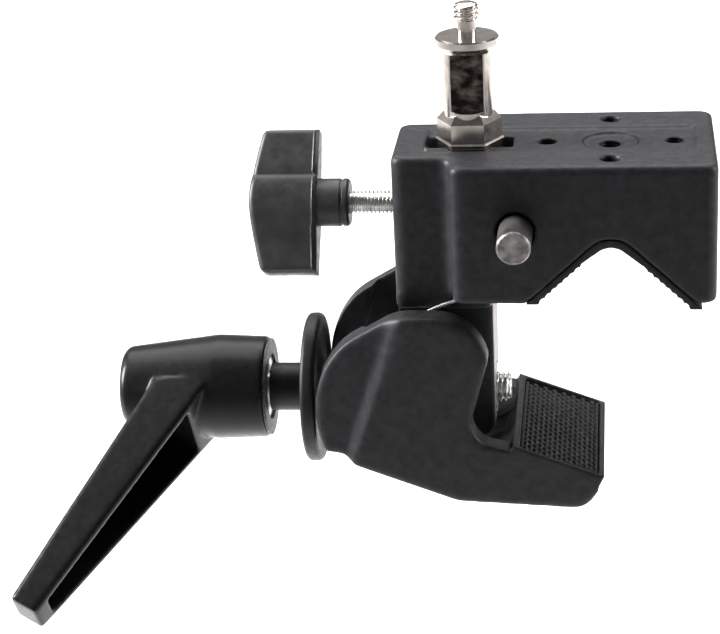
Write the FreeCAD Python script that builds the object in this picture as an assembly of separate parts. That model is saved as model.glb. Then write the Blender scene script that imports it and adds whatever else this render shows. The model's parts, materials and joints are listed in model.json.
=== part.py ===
import FreeCAD, Part
import math
import os

# Super clamp: a fixed upper jaw with a toothed V, and a lower jaw that hangs on a pivot pin.
# A lever turns the clamping screw, its thrust disc pushes the curved heels of the lower jaw,
# and the jaw closes. Millimetres, +Z up, +X towards the jaw mouth, +Y along the clamped tube.
# The origin is the axis of a GRIP_TUBE tube seated in the V.

# ---- driving dimensions -------------------------------------------------------------------
GRIP_TUBE = 35.0          # diameter of the tube whose axis is the origin
BODY_DEPTH = 46.0         # both jaws, along Y
BLOCK_HEIGHT = 36.0
BLOCK_RIGHT = 26.0        # X of the block's right end
BLOCK_LEFT = -39.5        # X where the full-depth block ends
NECK_LEFT = -54.5         # X of the narrow block's left end
NECK_CLEARANCE = 1.75     # between the narrow block's sides and the lower jaw's cheeks
NECK_DROP = 4.5           # narrow block below the full-depth block
TONGUE_RIGHT = -30.0
TONGUE_DEPTH = 20.0
TONGUE_BELOW_SCREW = 10.3
CORNER_RADIUS = 3.0
EDGE_RADIUS = 1.6

V_FLANK = 43.0            # degrees from horizontal
V_HALF_WIDTH = 18.0       # at the block's underside
V_ROOT_RADIUS = 5.0
LINER_WALL = 2.2
LINER_RIGHT_LIP = 1.4     # the right leg stands this far below the block
TOOTH_PITCH = 2.0
TOOTH_HEIGHT = 0.5
TOOTH_COUNT = 8
TOOTH_START = 0.4         # first tooth from the mouth of the V
TOOTH_SHAPE = ((0.0, 0.0), (0.35, 1.0), (0.85, 0.9))   # (share of pitch, share of height)

HOLE_CIRCLE = 31.75
TOP_HOLE_RADIUS = 2.45
TOP_HOLE_DEPTH = 11.0
CENTRE_HOLE_RADIUS = 2.8
CENTRE_HOLE_DEPTH = 11.0
RECESS_DEPTH = 0.7
RECESS_HALF_DEPTH = 9.5
RECESS_RIGHT = 21.0
SPOT_RADIUS = 7.1
SPOT_DEPTH = 0.8

STUD_X = -35.4
STUD_HEX = 14.2           # across flats
STUD_RIM_PROUD = 0.4      # rim at the socket's mouth, beyond the hexagon's flats
STUD_RIM = 0.9
STUD_SHANK = 30.0
STUD_COLLAR_TOP = 5.8
STUD_CHAMFER_TOP = 7.8
STUD_WAIST_RADIUS = 6.25
STUD_FLAT_HALF = 4.3      # half width of the milled flats
STUD_FLANGE_RADIUS = 8.0
STUD_FLANGE_TOP = 27.2
STUD_FLANGE_RIM = 1.7
STUD_FLANGE_BEVEL = 1.6
STUD_THREAD_RADIUS = 3.175
STUD_THREAD_CHAMFER = 0.9
STUD_FLANGE_CHAMFER = 0.4
STUD_TOP = 35.7
STUD_GROOVE_CLEARANCE = 0.75
SOCKET_CLEARANCE = 0.04   # on each flat of the hexagonal socket
SLOT_LENGTH = 22.0        # rectangular slot across the hexagonal socket
SLOT_WIDTH = 8.0
SLOT_DEPTH = 24.0

SIDE_AXIS_DROP = 16.6     # knob screw and lock pin below the top face
LOCK_PIN_REACH = 0.35     # the pin's side lies this far inside the hexagon's corner
LOCK_PIN_RADIUS = 4.25
LOCK_PIN_CHAMFER = 0.5
LOCK_PIN_PROUD = 11.65
LOCK_PIN_END = 8.0        # Y of the pin's inner end
LOCK_PIN_MOUTH = 4.8
LOCK_PIN_MOUTH_DEPTH = 6.0
LOCK_PIN_TRAVEL = 4.0
LOCK_WAIST_RADIUS = 3.4
LOCK_WAIST_MIDDLE = -4.0  # comes under the stud's corner when the pin is pressed
LOCK_WAIST_WIDTH = 5.0
LOCK_BORE_WALL = 4.0      # metal left behind the pin's spring
LOCK_SPRING_WIRE = 0.7
LOCK_SPRING_CLEARANCE = 0.5
RETAINER_RADIUS = 1.0
RETAINER_Y = 4.0
RETAINER_OVERLAP = 0.4    # share of the retainer's radius that lies inside the pin's bore
RETAINER_ABOVE_AXIS = 2.5

PIVOT_X = -44.8
PIVOT_RADIUS = 4.0
PIVOT_COVER = 2.5         # front cheek left over the blind end of the pivot hole
PIVOT_REAR_INSET = 0.4
LOBE_RADIUS = 14.0
LOBE_CLEARANCE = 3.7      # between the lower jaw's lobes and the full-depth block
LOBE_END = 8.0            # degrees, where the lobe's arc meets the throat
SCREW_BELOW_PIVOT = 15.0
WEB_START = 9.0           # web that closes the slot below the throat, from the pivot
WEB_CLEARANCE = 0.7       # from the web to the tongue's sweep and to the screw
HEEL_BLEND_RADIUS = 12.0  # between the heel and the level top
THROAT = ((9.4, -14.2), (10.4, -19.0), (14.4, -21.9))  # arc, from the pivot
TIP = ((41.6, -33.0), (40.0, -37.0), (36.2, -39.6))    # arc, from the pivot
BELLY = ((5.2, -37.8), (-21.6, -27.6), (-24.2, -25.4)) # corners below, from the pivot
CAM_START = 31.3          # heel's reach from the pivot at rest
CAM_RATE = 13.8           # disc travel per radian of jaw
CAM_LOW = -19.0           # degrees
CAM_HIGH = 60.0
CHEEK = 6.5
HEEL_SETBACK = 2.3
HEEL_INNER_STEP = 2.1
BAND_NEAR = 11.8          # ramp on the cheek, measured from the pivot
BAND_FAR = 15.1
BAND_ANGLE = 161.4        # degrees, direction square to the ramp
INNER_STEP_REACH = 18.0
PAD_SLOPE = 18.6          # degrees
PAD_START = 21.6          # pad's near top corner from the pivot
PAD_START_DROP = 22.8
PAD_LENGTH = 20.7
PAD_CREST = 0.0           # top of the pad's tread, from the far rail
TRAY_DEPTH = 3.4
NEAR_RAIL = 2.0
FAR_RAIL = 1.6
SIDE_RAIL = 1.3
PAD_GAP = 0.35
NEAR_RAIL_PROUD = 0.8
RAIL_FOOT = 1.0           # the near rail's back face below the pad's top line

SCREW_RADIUS = 4.0
SCREW_RIGHT = -26.3
SCREW_CHAMFER = 0.8
SCREW_IN_INSERT = 1.0     # the screw runs this far past the insert's teeth
BUSH_RADIUS = 6.5
DISC_RADIUS = 19.8
DISC_THICKNESS = 3.9
DISC_CHAMFER = 0.9
RING_RADIUS = 6.6
RING_THICKNESS = 1.2
SLEEVE_RADIUS = 6.4
SLEEVE_LENGTH = 9.6
SLEEVE_CHAMFER = 0.5

HUB_RADIUS = 13.5
HUB_BELLY_RADIUS = 14.0
HUB_TIP_RADIUS = 10.8
HUB_LENGTH = 40.0
HUB_BELLY_AT = 14.4       # widest place, from the open end
HUB_EDGE = 1.5
HUB_MOUTH_CHAMFER = 0.4
HUB_BORE_RADIUS = 8.7
HUB_WEB_START = 9.6       # from the hub's open end
HUB_WEB = 4.0
TEETH = 24
TEETH_ROOT_RADIUS = 7.7
TEETH_TIP_RADIUS = 8.6
TEETH_LENGTH = 4.0
TEETH_BUSH_RADIUS = 11.6
TEETH_BUSH_LENGTH = 9.0
TEETH_BUSH_FLANGE = 0.8
FLANGE_INSET = 0.6        # bush's flange inside the hub's rim
TEETH_GAP = 0.15          # between the insert's teeth and the lever's
TOOTH_FLANKS = (0.0, 0.22, 0.5, 0.72)   # shares of a tooth's turn: root, tip, tip, root
CORE_RADIUS = 6.0
LEVER_LIFT = 4.5
LEVER_TURN = -57.0        # degrees about X, from hanging straight down
LEVER_SLANT = 29.0        # degrees away from square to the screw
ARM_X = -109.7            # where the arm's centre line meets the screw axis
ARM_LENGTH = 78.0
ARM_ROOT_WIDTH = 26.0
ARM_TIP_WIDTH = 10.0
ARM_ROOT_THICKNESS = 14.5
ARM_TIP_THICKNESS = 8.5
ARM_WALL = 2.4
ARM_TOP_DROP = 4.8        # the arm's upper end, a plane this far below the screw axis
ARM_EDGE = 1.2
POCKET_START = 13.0       # pocket in the arm's back, from the screw axis and from the tip
POCKET_END = 5.0
LEVER_SCREW_HEAD = 7.2
LEVER_SCREW_HEAD_LENGTH = 4.5
LEVER_SCREW_SHANK = 2.5
LEVER_SCREW_CHAMFER = 0.5
LEVER_SCREW_END = 1.0     # gap between its end and the clamping screw
LEVER_SOCKET = 6.0        # corner to corner
LEVER_SOCKET_DEPTH = 3.0
LEVER_SPRING_CLEARANCE = 0.5
LEVER_SPRING_WIRE = 1.2
LEVER_WASHER = 1.0
LEVER_SPRING_LENGTH = 12.0

KNOB_SCREW_RADIUS = 3.0
KNOB_TURN = -32.0         # degrees about X, from a vertical wing
KNOB_LENGTH = 37.6
KNOB_CROWN = 3.2          # how far the wing's outer edge bows out
KNOB_WING = 14.5          # wing along X at its tips
KNOB_THICKNESS = 9.0
KNOB_ROUNDING = 1.5
KNOB_CAP = 0.6            # boss's end, in from the middle of the bow
KNOB_BOSS_RADIUS = 6.4
KNOB_COLLAR_RADIUS = 6.2
KNOB_COLLAR_LENGTH = 8.1
KNOB_COLLAR_CHAMFER = 0.8
KNOB_STANDOFF = 12.1      # gap between the collar and the narrow block
KNOB_SCREW_CHAMFER = 0.5
KNOB_SCREW_GAP = 0.1      # between the screw's end and the shoe
SHOE_RADIUS = 3.75
SHOE_LENGTH = 5.8
SHOE_TRAVEL = 2.0

SPRING_WIRE = 1.0         # torsion spring on the pivot pin
SPRING_CLEARANCE = 1.1    # between the pin and the coil
SPACER_WALL = 3.0

RUNNING = 0.05            # radial clearance of a shaft that turns or slides
FIXED = 0.02              # radial clearance of a pressed or screwed joint
APART = 0.3               # gap between pieces that move past each other

# ---- derived places -----------------------------------------------------------------------
FLANK = math.radians(V_FLANK)
COS_30 = math.cos(math.radians(30))
V_APEX_DROP = BLOCK_HEIGHT - V_HALF_WIDTH * math.tan(FLANK)
TOP = V_APEX_DROP + GRIP_TUBE / 2 / math.cos(FLANK)
UNDERSIDE = TOP - BLOCK_HEIGHT
HALF = BODY_DEPTH / 2
SIDE_Z = TOP - SIDE_AXIS_DROP
PIVOT_Z = UNDERSIDE - LOBE_CLEARANCE - LOBE_RADIUS
SCREW_Z = PIVOT_Z - SCREW_BELOW_PIVOT
TONGUE_BOTTOM = SCREW_Z - TONGUE_BELOW_SCREW
CHEEK_INNER = HALF - CHEEK
NECK_HALF = CHEEK_INNER - NECK_CLEARANCE
PIVOT_FRONT = -HALF + PIVOT_COVER
DISC_RIGHT = PIVOT_X - CAM_START - APART
DISC_LEFT = DISC_RIGHT - DISC_THICKNESS
SLEEVE_RIGHT = DISC_LEFT - APART
SLEEVE_LEFT = SLEEVE_RIGHT - SLEEVE_LENGTH
HUB_RIGHT = SLEEVE_LEFT
HUB_LEFT = HUB_RIGHT - HUB_LENGTH
TEETH_RIGHT = HUB_RIGHT - TEETH_BUSH_FLANGE
TEETH_LEFT = TEETH_RIGHT - TEETH_LENGTH
SCREW_LEFT = TEETH_LEFT - SCREW_IN_INSERT
WEB_LEFT = HUB_RIGHT - HUB_WEB_START - HUB_WEB
LEVER_WASHER_RIGHT = WEB_LEFT - LEVER_SPRING_LENGTH
SCREW_HEAD_RIGHT = LEVER_WASHER_RIGHT - LEVER_WASHER
STUD_HEX_CORNER = STUD_HEX / 2 / COS_30
STUD_RIM_HEX = STUD_HEX + 2 * STUD_RIM_PROUD
STUD_GROOVE_RADIUS = STUD_HEX_CORNER - LOCK_PIN_REACH - STUD_GROOVE_CLEARANCE
LOCK_PIN_X = STUD_X + STUD_HEX_CORNER - LOCK_PIN_REACH + LOCK_PIN_RADIUS
LOCK_BORE_END = HALF - LOCK_BORE_WALL
RETAINER_X = LOCK_PIN_X + LOCK_PIN_RADIUS - RETAINER_OVERLAP * RETAINER_RADIUS
SHOE_FACE = STUD_X - STUD_HEX_CORNER - APART
SHOE_BACK = SHOE_FACE - SHOE_LENGTH
KNOB_RIGHT = NECK_LEFT - KNOB_STANDOFF
WING_RIGHT = KNOB_RIGHT - KNOB_COLLAR_LENGTH


# ---- small helpers ------------------------------------------------------------------------
def vec(x, y, z):
    return FreeCAD.Vector(x, y, z)


X_AXIS = vec(1, 0, 0)
Y_AXIS = vec(0, 1, 0)
Z_AXIS = vec(0, 0, 1)


def box(x0, x1, y0, y1, z0, z1):
    return Part.makeBox(x1 - x0, y1 - y0, z1 - z0, vec(x0, y0, z0))


def rod_x(radius, x0, x1, y, z):
    return Part.makeCylinder(radius, x1 - x0, vec(x0, y, z), X_AXIS)


def rod_y(radius, y0, y1, x, z):
    return Part.makeCylinder(radius, y1 - y0, vec(x, y0, z), Y_AXIS)


def rod_z(radius, z0, z1, x, y):
    return Part.makeCylinder(radius, z1 - z0, vec(x, y, z0), Z_AXIS)


def face_of(points):
    return Part.Face(Part.makePolygon(points + [points[0]]))


def prism_xz(outline, y0, y1):
    points = [vec(x, y0, z) for x, z in outline]
    return face_of(points).extrude(vec(0, y1 - y0, 0))


def prism_xy(outline, z0, z1):
    points = [vec(x, y, z0) for x, y in outline]
    return face_of(points).extrude(vec(0, 0, z1 - z0))


def hexagon(across_flats, z0, z1, x):
    corner = across_flats / 2 / COS_30
    steps = [math.radians(60 * i) for i in range(6)]
    outline = [(x + corner * math.cos(a), corner * math.sin(a)) for a in steps]
    return prism_xy(outline, z0, z1)


def turned_x(profile, z):
    """Solid of revolution about the line along X at height z; profile is (x, radius) pairs."""
    points = [vec(x, 0, z + r) for x, r in profile]
    return face_of(points).revolve(vec(0, 0, z), X_AXIS, 360)


def turned_z(profile, x):
    """Solid of revolution about the line along Z at x; profile is (radius, z) pairs."""
    points = [vec(x + r, 0, z) for r, z in profile]
    return face_of(points).revolve(vec(x, 0, 0), Z_AXIS, 360)


def upright_edges(shape):
    found = []
    for edge in shape.Edges:
        a, b = edge.Vertexes[0].Point, edge.Vertexes[-1].Point
        if abs(a.x - b.x) < 0.01 and abs(a.y - b.y) < 0.01 and abs(a.z - b.z) > 0.1:
            found.append(edge)
    return found


def end_edges(rod, x):
    """The circles at the end of a rod along X."""
    return [e for e in rod.Edges if len(e.Vertexes) == 1 and abs(e.Vertexes[0].X - x) < 0.01]


def level_edges(shape, z):
    return [e for e in shape.Edges if all(abs(v.Z - z) < 0.01 for v in e.Vertexes)]


def save(name, shape):
    os.makedirs("parts", exist_ok=True)
    shape.exportStep("parts/" + name + ".step")
    size = shape.BoundBox
    print(name, "solids", len(shape.Solids), "valid", shape.isValid(), "volume", round(shape.Volume),
          "box", [round(v, 1) for v in (size.XMin, size.XMax, size.YMin, size.YMax, size.ZMin, size.ZMax)])


# ---- upper jaw ----------------------------------------------------------------------------
def v_outline(offset, right_lip, below):
    """The V between its legs, offset outwards, as (x, z) points with a rounded root."""
    steps = 8
    apex = TOP - V_APEX_DROP + offset / math.cos(FLANK)
    radius = V_ROOT_RADIUS + offset
    centre = apex - radius / math.cos(FLANK)
    left_z = UNDERSIDE - below
    right_z = UNDERSIDE - below - right_lip
    points = [(-(apex - left_z) / math.tan(FLANK), left_z)]
    for step in range(steps + 1):
        angle = math.pi / 2 + FLANK - 2 * FLANK * step / steps
        points.append((radius * math.cos(angle), centre + radius * math.sin(angle)))
    points.append(((apex - right_z) / math.tan(FLANK), right_z))
    return points


def upper_block():
    outline = [(NECK_LEFT, -NECK_HALF), (BLOCK_LEFT, -NECK_HALF), (BLOCK_LEFT, -HALF), (BLOCK_RIGHT, -HALF),
               (BLOCK_RIGHT, HALF), (BLOCK_LEFT, HALF), (BLOCK_LEFT, NECK_HALF), (NECK_LEFT, NECK_HALF)]
    block = prism_xy(outline, UNDERSIDE, TOP)
    block = block.makeFillet(CORNER_RADIUS, upright_edges(block))
    block = block.makeFillet(EDGE_RADIUS, level_edges(block, TOP))
    return block


def upper_tongue():
    lower_neck = box(NECK_LEFT, TONGUE_RIGHT, -NECK_HALF, NECK_HALF, UNDERSIDE - NECK_DROP, UNDERSIDE)
    lower_neck = lower_neck.makeFillet(EDGE_RADIUS, upright_edges(lower_neck))
    half = TONGUE_DEPTH / 2
    tongue = box(NECK_LEFT, TONGUE_RIGHT, -half, half, TONGUE_BOTTOM, UNDERSIDE + CORNER_RADIUS)
    ends = [e for e in level_edges(tongue, TONGUE_BOTTOM) if abs(e.Vertexes[0].X - e.Vertexes[1].X) < 0.01]
    tongue = tongue.makeFillet(TONGUE_BELOW_SCREW / 2, ends)
    return lower_neck.fuse(tongue)


def upper_jaw():
    jaw = upper_block().fuse(upper_tongue())
    below = 5.0
    seat = v_outline(LINER_WALL, 0, below)
    jaw = jaw.cut(prism_xz(seat, -HALF - 1, HALF + 1))
    # top face: shallow recess, spot face and the five fastening holes
    recess_left = STUD_X - SLOT_LENGTH / 2
    floor = TOP - RECESS_DEPTH
    jaw = jaw.cut(box(recess_left, RECESS_RIGHT, -RECESS_HALF_DEPTH, RECESS_HALF_DEPTH, floor, TOP + 1))
    jaw = jaw.cut(rod_z(SPOT_RADIUS, floor - SPOT_DEPTH, TOP + 1, 0, 0))
    jaw = jaw.cut(rod_z(CENTRE_HOLE_RADIUS, floor - SPOT_DEPTH - CENTRE_HOLE_DEPTH, TOP + 1, 0, 0))
    for quarter in range(4):
        x = HOLE_CIRCLE / 2 * math.cos(quarter * math.pi / 2)
        y = HOLE_CIRCLE / 2 * math.sin(quarter * math.pi / 2)
        jaw = jaw.cut(rod_z(TOP_HOLE_RADIUS, TOP - TOP_HOLE_DEPTH, TOP + 1, x, y))
    # hexagonal socket, and the slot across it for the clamping shoe
    jaw = jaw.cut(hexagon(STUD_HEX + 2 * SOCKET_CLEARANCE, TOP - STUD_SHANK - APART, TOP + 1, STUD_X))
    half_slot = SLOT_LENGTH / 2
    jaw = jaw.cut(box(STUD_X - half_slot, STUD_X + half_slot, -SLOT_WIDTH / 2, SLOT_WIDTH / 2,
                      TOP - SLOT_DEPTH, TOP + 1))
    # knob screw and shoe
    jaw = jaw.cut(rod_x(KNOB_SCREW_RADIUS + RUNNING, NECK_LEFT - 1, STUD_X, 0, SIDE_Z))
    jaw = jaw.cut(rod_x(SHOE_RADIUS + RUNNING, SHOE_BACK - SHOE_TRAVEL - APART, STUD_X, 0, SIDE_Z))
    # lock pin, its spring chamber and retainer
    jaw = jaw.cut(rod_y(LOCK_PIN_MOUTH, -HALF - 1, -HALF + LOCK_PIN_MOUTH_DEPTH, LOCK_PIN_X, SIDE_Z))
    jaw = jaw.cut(rod_y(LOCK_PIN_RADIUS + RUNNING, -HALF, LOCK_BORE_END, LOCK_PIN_X, SIDE_Z))
    retainer_top = SIDE_Z + RETAINER_ABOVE_AXIS + APART
    jaw = jaw.cut(rod_z(RETAINER_RADIUS + FIXED, UNDERSIDE - 1, retainer_top, RETAINER_X, RETAINER_Y))
    # tongue: pivot pin and threaded bush
    jaw = jaw.cut(rod_y(PIVOT_RADIUS + FIXED, -HALF, HALF, PIVOT_X, PIVOT_Z))
    jaw = jaw.cut(rod_x(BUSH_RADIUS + FIXED, NECK_LEFT - 1, TONGUE_RIGHT + 1, 0, SCREW_Z))
    return jaw


def v_jaw_liner():
    """Toothed insert that lines the V, flush with both faces of the block."""
    outer = v_outline(LINER_WALL - FIXED, LINER_RIGHT_LIP, 0)
    inner = v_outline(0, LINER_RIGHT_LIP, 0)
    left, right = inner[0], inner[-1]
    run = (math.cos(FLANK), math.sin(FLANK))
    left_teeth = []
    right_teeth = []
    for tooth in range(TOOTH_COUNT):
        for pitch_share, height_share in TOOTH_SHAPE:
            along = TOOTH_START + TOOTH_PITCH * (tooth + pitch_share)
            depth = TOOTH_HEIGHT * height_share
            dx = along * run[0] - depth * run[1]
            dz = along * run[1] + depth * run[0]
            left_teeth.append((left[0] + dx, left[1] + dz))
            right_teeth.append((right[0] - dx, right[1] + dz))
    path = outer + [right] + right_teeth + inner[-2:0:-1] + left_teeth[::-1] + [left]
    return prism_xz(path, -HALF, HALF)


# ---- stud and its locks -------------------------------------------------------------------
def spigot_stud():
    """Hexagonal shank, waisted spigot with milled flats and a threaded tip, all turned from one bar."""
    shank = hexagon(STUD_HEX, TOP - STUD_SHANK, TOP, STUD_X)
    groove_z0 = SIDE_Z - LOCK_PIN_RADIUS - APART
    groove_z1 = SIDE_Z + LOCK_PIN_RADIUS + APART
    ring = rod_z(STUD_HEX, groove_z0, groove_z1, STUD_X, 0)
    ring = ring.cut(rod_z(STUD_GROOVE_RADIUS, groove_z0, groove_z1, STUD_X, 0))
    shank = shank.cut(ring)
    rim = hexagon(STUD_RIM_HEX, TOP, TOP + STUD_RIM, STUD_X)
    collar = hexagon(STUD_HEX, TOP + STUD_RIM, TOP + STUD_CHAMFER_TOP, STUD_X)
    chamfer_foot = STUD_WAIST_RADIUS + STUD_CHAMFER_TOP - STUD_COLLAR_TOP
    clear = STUD_RIM_HEX
    cone = turned_z([(0, TOP), (clear, TOP), (clear, TOP + STUD_COLLAR_TOP + chamfer_foot - clear),
                     (chamfer_foot, TOP + STUD_COLLAR_TOP), (STUD_WAIST_RADIUS, TOP + STUD_CHAMFER_TOP),
                     (0, TOP + STUD_CHAMFER_TOP)], STUD_X)
    collar = collar.common(cone)
    bevel_bottom = STUD_FLANGE_TOP - STUD_FLANGE_RIM - STUD_FLANGE_BEVEL
    upper = turned_z([(0, TOP + STUD_CHAMFER_TOP - 1), (STUD_WAIST_RADIUS, TOP + STUD_CHAMFER_TOP - 1),
                      (STUD_WAIST_RADIUS, TOP + bevel_bottom),
                      (STUD_FLANGE_RADIUS, TOP + STUD_FLANGE_TOP - STUD_FLANGE_RIM),
                      (STUD_FLANGE_RADIUS, TOP + STUD_FLANGE_TOP - STUD_FLANGE_CHAMFER),
                      (STUD_FLANGE_RADIUS - STUD_FLANGE_CHAMFER, TOP + STUD_FLANGE_TOP),
                      (STUD_THREAD_RADIUS, TOP + STUD_FLANGE_TOP),
                      (STUD_THREAD_RADIUS, TOP + STUD_TOP - STUD_THREAD_CHAMFER),
                      (STUD_THREAD_RADIUS - STUD_THREAD_CHAMFER, TOP + STUD_TOP),
                      (0, TOP + STUD_TOP)], STUD_X)
    flat = math.sqrt(STUD_WAIST_RADIUS ** 2 - STUD_FLAT_HALF ** 2)
    for side in (-1, 1):
        y0, y1 = sorted((side * flat, side * clear))
        upper = upper.cut(box(STUD_X - clear, STUD_X + clear, y0, y1,
                              TOP + STUD_CHAMFER_TOP, TOP + bevel_bottom))
    return shank.fuse([rim, collar, upper]).removeSplitter()


def stud_clamp_shoe():
    """Plunger whose V end bears on a corner of the stud's hexagon."""
    shoe = rod_x(SHOE_RADIUS, SHOE_BACK, SHOE_FACE + SHOE_RADIUS, 0, SIDE_Z)
    spread = STUD_HEX
    rise = spread / math.tan(math.radians(60))
    notch = prism_xy([(SHOE_FACE, 0), (SHOE_FACE + rise, -spread), (SHOE_FACE + rise, spread)],
                     SIDE_Z - spread, SIDE_Z + spread)
    return shoe.cut(notch)


def lock_pin():
    """Push pin; its waist frees the stud when it is pressed, and its flat runs past the retainer."""
    front = -HALF - LOCK_PIN_PROUD
    pin = rod_y(LOCK_PIN_RADIUS, front, LOCK_PIN_END, LOCK_PIN_X, SIDE_Z)
    rims = [e for e in pin.Edges if len(e.Vertexes) == 1]
    pin = pin.makeChamfer(LOCK_PIN_CHAMFER, rims)
    y0 = LOCK_WAIST_MIDDLE - LOCK_WAIST_WIDTH / 2
    y1 = LOCK_WAIST_MIDDLE + LOCK_WAIST_WIDTH / 2
    waist = rod_y(LOCK_PIN_RADIUS + 1, y0, y1, LOCK_PIN_X, SIDE_Z)
    waist = waist.cut(rod_y(LOCK_WAIST_RADIUS, y0, y1, LOCK_PIN_X, SIDE_Z))
    flat_x = RETAINER_X - RETAINER_RADIUS - APART
    flat_y0 = RETAINER_Y - RETAINER_RADIUS - LOCK_PIN_TRAVEL - APART
    flat_y1 = RETAINER_Y + RETAINER_RADIUS + APART
    clear = LOCK_PIN_RADIUS + 1
    flat = box(flat_x, LOCK_PIN_X + clear, flat_y0, flat_y1, SIDE_Z - clear, SIDE_Z + clear)
    return pin.cut(waist).cut(flat)


def lock_pin_spring():
    outer = LOCK_PIN_RADIUS - LOCK_SPRING_CLEARANCE
    inner = outer - LOCK_SPRING_WIRE
    coil = rod_y(outer, LOCK_PIN_END, LOCK_BORE_END, LOCK_PIN_X, SIDE_Z)
    return coil.cut(rod_y(inner, LOCK_PIN_END - 1, LOCK_BORE_END + 1, LOCK_PIN_X, SIDE_Z))


def retainer_pin():
    """Cross pin above the liner, which keeps it in; its side runs in the lock pin's flat."""
    liner_top = TOP - V_APEX_DROP + LINER_WALL / math.cos(FLANK)
    foot = liner_top + (RETAINER_X + RETAINER_RADIUS) * math.tan(FLANK) + APART
    return rod_z(RETAINER_RADIUS, foot, SIDE_Z + RETAINER_ABOVE_AXIS, RETAINER_X, RETAINER_Y)


def knob_screw():
    """Threaded rod moulded into the wing knob."""
    end = SHOE_BACK - KNOB_SCREW_GAP
    rod = rod_x(KNOB_SCREW_RADIUS, WING_RIGHT - KNOB_WING / 2, end, 0, SIDE_Z)
    return rod.makeChamfer(KNOB_SCREW_CHAMFER, end_edges(rod, end))


def wing_knob():
    """Two-armed knob: a bowed wing, a round boss through it and a collar."""
    half = KNOB_LENGTH / 2
    left = WING_RIGHT - KNOB_WING
    bow = Part.Arc(vec(left, 0, half), vec(left - KNOB_CROWN, 0, 0), vec(left, 0, -half)).toShape()
    rest = Part.makePolygon([vec(left, 0, -half), vec(WING_RIGHT, 0, -half), vec(WING_RIGHT, 0, half),
                             vec(left, 0, half)])
    wing = Part.Face(Part.Wire([bow] + rest.Edges)).extrude(vec(0, KNOB_THICKNESS, 0))
    wing.translate(vec(0, -KNOB_THICKNESS / 2, 0))
    wing = wing.makeFillet(KNOB_ROUNDING, wing.Edges)
    cap = left - KNOB_CROWN + KNOB_CAP
    boss = turned_x([(cap, 0), (cap, KNOB_BOSS_RADIUS - KNOB_ROUNDING),
                     (cap + KNOB_ROUNDING, KNOB_BOSS_RADIUS), (WING_RIGHT, KNOB_BOSS_RADIUS),
                     (WING_RIGHT, KNOB_COLLAR_RADIUS), (KNOB_RIGHT - KNOB_COLLAR_CHAMFER, KNOB_COLLAR_RADIUS),
                     (KNOB_RIGHT, KNOB_COLLAR_RADIUS - KNOB_COLLAR_CHAMFER), (KNOB_RIGHT, 0)], 0)
    knob = wing.fuse(boss)
    knob.rotate(vec(0, 0, 0), X_AXIS, KNOB_TURN)
    knob.translate(vec(0, 0, SIDE_Z))
    bore = rod_x(KNOB_SCREW_RADIUS + FIXED, WING_RIGHT - KNOB_WING / 2, KNOB_RIGHT + 1, 0, SIDE_Z)
    return knob.cut(bore)


# ---- lower jaw ----------------------------------------------------------------------------
def cam_point(degrees):
    """Point of the heel whose support distance falls by CAM_RATE per radian, about the pivot."""
    angle = math.radians(degrees)
    reach = CAM_START - CAM_RATE * angle
    x = -reach * math.cos(angle) - CAM_RATE * math.sin(angle)
    z = reach * math.sin(angle) - CAM_RATE * math.cos(angle)
    return x, z


def about_pivot(x, z, y=0.0):
    return vec(PIVOT_X + x, y, PIVOT_Z + z)


def down_pad(along, above):
    """Point in the pad's own directions: along its top towards the tip, and above it."""
    slope = math.radians(PAD_SLOPE)
    x = PAD_START + along * math.cos(slope) + above * math.sin(slope)
    z = -PAD_START_DROP - along * math.sin(slope) + above * math.cos(slope)
    return x, z


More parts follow.
